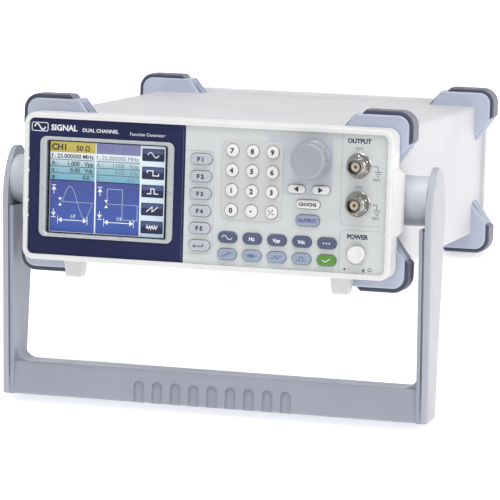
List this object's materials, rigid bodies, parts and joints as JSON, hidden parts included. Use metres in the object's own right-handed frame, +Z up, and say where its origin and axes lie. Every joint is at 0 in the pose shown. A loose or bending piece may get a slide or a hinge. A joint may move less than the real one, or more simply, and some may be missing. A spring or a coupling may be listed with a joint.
{
  "type": "function generator",
  "caption": "Bench function generator with colour display, keypad, tuning knob and coaxial outputs, tilted back on a swinging carry handle.",
  "frame": {"origin": "on the bench surface, under the middle of the bounding box", "axes": "+X to the right as seen from the front, +Y towards the back, +Z up; the cabinet leans back on its handle"},
  "size_m": [0.266, 0.2992, 0.1826],
  "materials": {
    "white_moulding": "fine satin texture",
    "panel_print": "smooth matt print",
    "navy_print": "satin print",
    "silver_trim": "satin silver",
    "screen_face": "clear gloss over the display",
    "module_metal": "plain",
    "key_white": "satin",
    "key_lavender": "satin",
    "key_slate": "satin",
    "key_blue": "satin",
    "key_green": "satin",
    "knob_lavender": "satin",
    "grey_rubber": "matt",
    "board": "solder mask",
    "cover_paint": "fine powder coat",
    "back_paint": "powder coat",
    "guard_plastic": "satin",
    "bumper_rubber": "matt, worn at the edges",
    "handle_plastic": "satin",
    "foot_plastic": "satin",
    "plated_metal": "bright plating",
    "steel": "plain",
    "black_plastic": "satin"
  },
  "bodies": {
    "instrument": {"ac_inlet": "black_plastic", "bottom_tray": "cover_paint", "bumper_strips": "bumper_rubber", "corner_guards": "guard_plastic", "display_module": "module_metal", "display_ring": "silver_trim", "display_screen": "screen_face", "display_surround": "navy_print", "fan_frame": "black_plastic", "front_bezel": "white_moulding", "front_feet": "foot_plastic", "handle_hubs": "handle_plastic", "key_mat": "grey_rubber", "main_board": "board", "output_jacks": "plated_metal", "panel_board": "board", "panel_overlay": "panel_print", "power_supply": "board", "rear_frame": "white_moulding", "rear_panel": "back_paint", "rear_screws": "steel", "rear_sockets": "plated_metal", "top_cover": "cover_paint"},
    "handle": {"handle": "handle_plastic"},
    "knob": {"knob": "knob_lavender", "encoder_shaft": "steel"},
    "fan_rotor": {"fan_rotor": "black_plastic"},
    "arrow_key_left": {"arrow_key_left": "key_white"},
    "arrow_key_right": {"arrow_key_right": "key_white"},
    "channel_key": {"channel_key": "key_white"},
    "digit_key_0": {"digit_key_0": "key_white"},
    "digit_key_1": {"digit_key_1": "key_white"},
    "digit_key_2": {"digit_key_2": "key_white"},
    "digit_key_3": {"digit_key_3": "key_white"},
    "digit_key_4": {"digit_key_4": "key_white"},
    "digit_key_5": {"digit_key_5": "key_white"},
    "digit_key_6": {"digit_key_6": "key_white"},
    "digit_key_7": {"digit_key_7": "key_white"},
    "digit_key_8": {"digit_key_8": "key_white"},
    "digit_key_9": {"digit_key_9": "key_white"},
    "digit_key_point": {"digit_key_point": "key_white"},
    "digit_key_sign": {"digit_key_sign": "key_white"},
    "menu_key_lower_1": {"menu_key_lower_1": "key_blue"},
    "menu_key_lower_2": {"menu_key_lower_2": "key_blue"},
    "menu_key_lower_3": {"menu_key_lower_3": "key_blue"},
    "menu_key_lower_4": {"menu_key_lower_4": "key_blue"},
    "menu_key_lower_5": {"menu_key_lower_5": "key_green"},
    "menu_key_upper_1": {"menu_key_upper_1": "key_slate"},
    "menu_key_upper_2": {"menu_key_upper_2": "key_slate"},
    "menu_key_upper_3": {"menu_key_upper_3": "key_slate"},
    "menu_key_upper_4": {"menu_key_upper_4": "key_slate"},
    "menu_key_upper_5": {"menu_key_upper_5": "key_slate"},
    "output_key": {"output_key": "key_blue"},
    "return_key": {"return_key": "key_lavender"},
    "soft_key_1": {"soft_key_1": "key_lavender"},
    "soft_key_2": {"soft_key_2": "key_lavender"},
    "soft_key_3": {"soft_key_3": "key_lavender"},
    "soft_key_4": {"soft_key_4": "key_lavender"},
    "soft_key_5": {"soft_key_5": "key_lavender"},
    "power_button": {"power_button": "key_white"}
  },
  "joints": [
    {"name": "handle_swing", "type": "hinge", "parent": "instrument", "child": "handle", "pos_m": [0, -0.09681, 0.12744], "axis": [-1, 0, 0], "range_deg": [-60, 240]},
    {"name": "knob_turn", "type": "hinge", "parent": "instrument", "child": "knob", "pos_m": [0.0647, -0.11961, 0.16137], "axis": [0, 0.9388, -0.3445], "continuous": true},
    {"name": "fan_spin", "type": "hinge", "parent": "instrument", "child": "fan_rotor", "pos_m": [-0.058, 0.11618, 0.04919], "axis": [0, 0.9388, -0.3445], "continuous": true},
    {"name": "arrow_key_left_press", "type": "slide", "parent": "instrument", "child": "arrow_key_left", "axis": [0, 0.9388, -0.3445], "range_m": [0, 0.0008], "stiffness_N_per_m": 400, "springref_m": -0.001},
    {"name": "arrow_key_right_press", "type": "slide", "parent": "instrument", "child": "arrow_key_right", "axis": [0, 0.9388, -0.3445], "range_m": [0, 0.0008], "stiffness_N_per_m": 400, "springref_m": -0.001},
    {"name": "channel_key_press", "type": "slide", "parent": "instrument", "child": "channel_key", "axis": [0, 0.9388, -0.3445], "range_m": [0, 0.0008], "stiffness_N_per_m": 400, "springref_m": -0.001},
    {"name": "digit_key_0_press", "type": "slide", "parent": "instrument", "child": "digit_key_0", "axis": [0, 0.9388, -0.3445], "range_m": [0, 0.0008], "stiffness_N_per_m": 400, "springref_m": -0.001},
    {"name": "digit_key_1_press", "type": "slide", "parent": "instrument", "child": "digit_key_1", "axis": [0, 0.9388, -0.3445], "range_m": [0, 0.0008], "stiffness_N_per_m": 400, "springref_m": -0.001},
    {"name": "digit_key_2_press", "type": "slide", "parent": "instrument", "child": "digit_key_2", "axis": [0, 0.9388, -0.3445], "range_m": [0, 0.0008], "stiffness_N_per_m": 400, "springref_m": -0.001},
    {"name": "digit_key_3_press", "type": "slide", "parent": "instrument", "child": "digit_key_3", "axis": [0, 0.9388, -0.3445], "range_m": [0, 0.0008], "stiffness_N_per_m": 400, "springref_m": -0.001},
    {"name": "digit_key_4_press", "type": "slide", "parent": "instrument", "child": "digit_key_4", "axis": [0, 0.9388, -0.3445], "range_m": [0, 0.0008], "stiffness_N_per_m": 400, "springref_m": -0.001},
    {"name": "digit_key_5_press", "type": "slide", "parent": "instrument", "child": "digit_key_5", "axis": [0, 0.9388, -0.3445], "range_m": [0, 0.0008], "stiffness_N_per_m": 400, "springref_m": -0.001},
    {"name": "digit_key_6_press", "type": "slide", "parent": "instrument", "child": "digit_key_6", "axis": [0, 0.9388, -0.3445], "range_m": [0, 0.0008], "stiffness_N_per_m": 400, "springref_m": -0.001},
    {"name": "digit_key_7_press", "type": "slide", "parent": "instrument", "child": "digit_key_7", "axis": [0, 0.9388, -0.3445], "range_m": [0, 0.0008], "stiffness_N_per_m": 400, "springref_m": -0.001},
    {"name": "digit_key_8_press", "type": "slide", "parent": "instrument", "child": "digit_key_8", "axis": [0, 0.9388, -0.3445], "range_m": [0, 0.0008], "stiffness_N_per_m": 400, "springref_m": -0.001},
    {"name": "digit_key_9_press", "type": "slide", "parent": "instrument", "child": "digit_key_9", "axis": [0, 0.9388, -0.3445], "range_m": [0, 0.0008], "stiffness_N_per_m": 400, "springref_m": -0.001},
    {"name": "digit_key_point_press", "type": "slide", "parent": "instrument", "child": "digit_key_point", "axis": [0, 0.9388, -0.3445], "range_m": [0, 0.0008], "stiffness_N_per_m": 400, "springref_m": -0.001},
    {"name": "digit_key_sign_press", "type": "slide", "parent": "instrument", "child": "digit_key_sign", "axis": [0, 0.9388, -0.3445], "range_m": [0, 0.0008], "stiffness_N_per_m": 400, "springref_m": -0.001},
    {"name": "menu_key_lower_1_press", "type": "slide", "parent": "instrument", "child": "menu_key_lower_1", "axis": [0, 0.9388, -0.3445], "range_m": [0, 0.0008], "stiffness_N_per_m": 400, "springref_m": -0.001},
    {"name": "menu_key_lower_2_press", "type": "slide", "parent": "instrument", "child": "menu_key_lower_2", "axis": [0, 0.9388, -0.3445], "range_m": [0, 0.0008], "stiffness_N_per_m": 400, "springref_m": -0.001},
    {"name": "menu_key_lower_3_press", "type": "slide", "parent": "instrument", "child": "menu_key_lower_3", "axis": [0, 0.9388, -0.3445], "range_m": [0, 0.0008], "stiffness_N_per_m": 400, "springref_m": -0.001},
    {"name": "menu_key_lower_4_press", "type": "slide", "parent": "instrument", "child": "menu_key_lower_4", "axis": [0, 0.9388, -0.3445], "range_m": [0, 0.0008], "stiffness_N_per_m": 400, "springref_m": -0.001},
    {"name": "menu_key_lower_5_press", "type": "slide", "parent": "instrument", "child": "menu_key_lower_5", "axis": [0, 0.9388, -0.3445], "range_m": [0, 0.0008], "stiffness_N_per_m": 400, "springref_m": -0.001},
    {"name": "menu_key_upper_1_press", "type": "slide", "parent": "instrument", "child": "menu_key_upper_1", "axis": [0, 0.9388, -0.3445], "range_m": [0, 0.0008], "stiffness_N_per_m": 400, "springref_m": -0.001},
    {"name": "menu_key_upper_2_press", "type": "slide", "parent": "instrument", "child": "menu_key_upper_2", "axis": [0, 0.9388, -0.3445], "range_m": [0, 0.0008], "stiffness_N_per_m": 400, "springref_m": -0.001},
    {"name": "menu_key_upper_3_press", "type": "slide", "parent": "instrument", "child": "menu_key_upper_3", "axis": [0, 0.9388, -0.3445], "range_m": [0, 0.0008], "stiffness_N_per_m": 400, "springref_m": -0.001},
    {"name": "menu_key_upper_4_press", "type": "slide", "parent": "instrument", "child": "menu_key_upper_4", "axis": [0, 0.9388, -0.3445], "range_m": [0, 0.0008], "stiffness_N_per_m": 400, "springref_m": -0.001},
    {"name": "menu_key_upper_5_press", "type": "slide", "parent": "instrument", "child": "menu_key_upper_5", "axis": [0, 0.9388, -0.3445], "range_m": [0, 0.0008], "stiffness_N_per_m": 400, "springref_m": -0.001},
    {"name": "output_key_press", "type": "slide", "parent": "instrument", "child": "output_key", "axis": [0, 0.9388, -0.3445], "range_m": [0, 0.0008], "stiffness_N_per_m": 400, "springref_m": -0.001},
    {"name": "return_key_press", "type": "slide", "parent": "instrument", "child": "return_key", "axis": [0, 0.9388, -0.3445], "range_m": [0, 0.0008], "stiffness_N_per_m": 400, "springref_m": -0.001},
    {"name": "soft_key_1_press", "type": "slide", "parent": "instrument", "child": "soft_key_1", "axis": [0, 0.9388, -0.3445], "range_m": [0, 0.0008], "stiffness_N_per_m": 400, "springref_m": -0.001},
    {"name": "soft_key_2_press", "type": "slide", "parent": "instrument", "child": "soft_key_2", "axis": [0, 0.9388, -0.3445], "range_m": [0, 0.0008], "stiffness_N_per_m": 400, "springref_m": -0.001},
    {"name": "soft_key_3_press", "type": "slide", "parent": "instrument", "child": "soft_key_3", "axis": [0, 0.9388, -0.3445], "range_m": [0, 0.0008], "stiffness_N_per_m": 400, "springref_m": -0.001},
    {"name": "soft_key_4_press", "type": "slide", "parent": "instrument", "child": "soft_key_4", "axis": [0, 0.9388, -0.3445], "range_m": [0, 0.0008], "stiffness_N_per_m": 400, "springref_m": -0.001},
    {"name": "soft_key_5_press", "type": "slide", "parent": "instrument", "child": "soft_key_5", "axis": [0, 0.9388, -0.3445], "range_m": [0, 0.0008], "stiffness_N_per_m": 400, "springref_m": -0.001},
    {"name": "power_press", "type": "slide", "parent": "instrument", "child": "power_button", "axis": [0, 0.9388, -0.3445], "range_m": [0, 0.003], "stiffness_N_per_m": 300, "springref_m": -0.001}
  ]
}
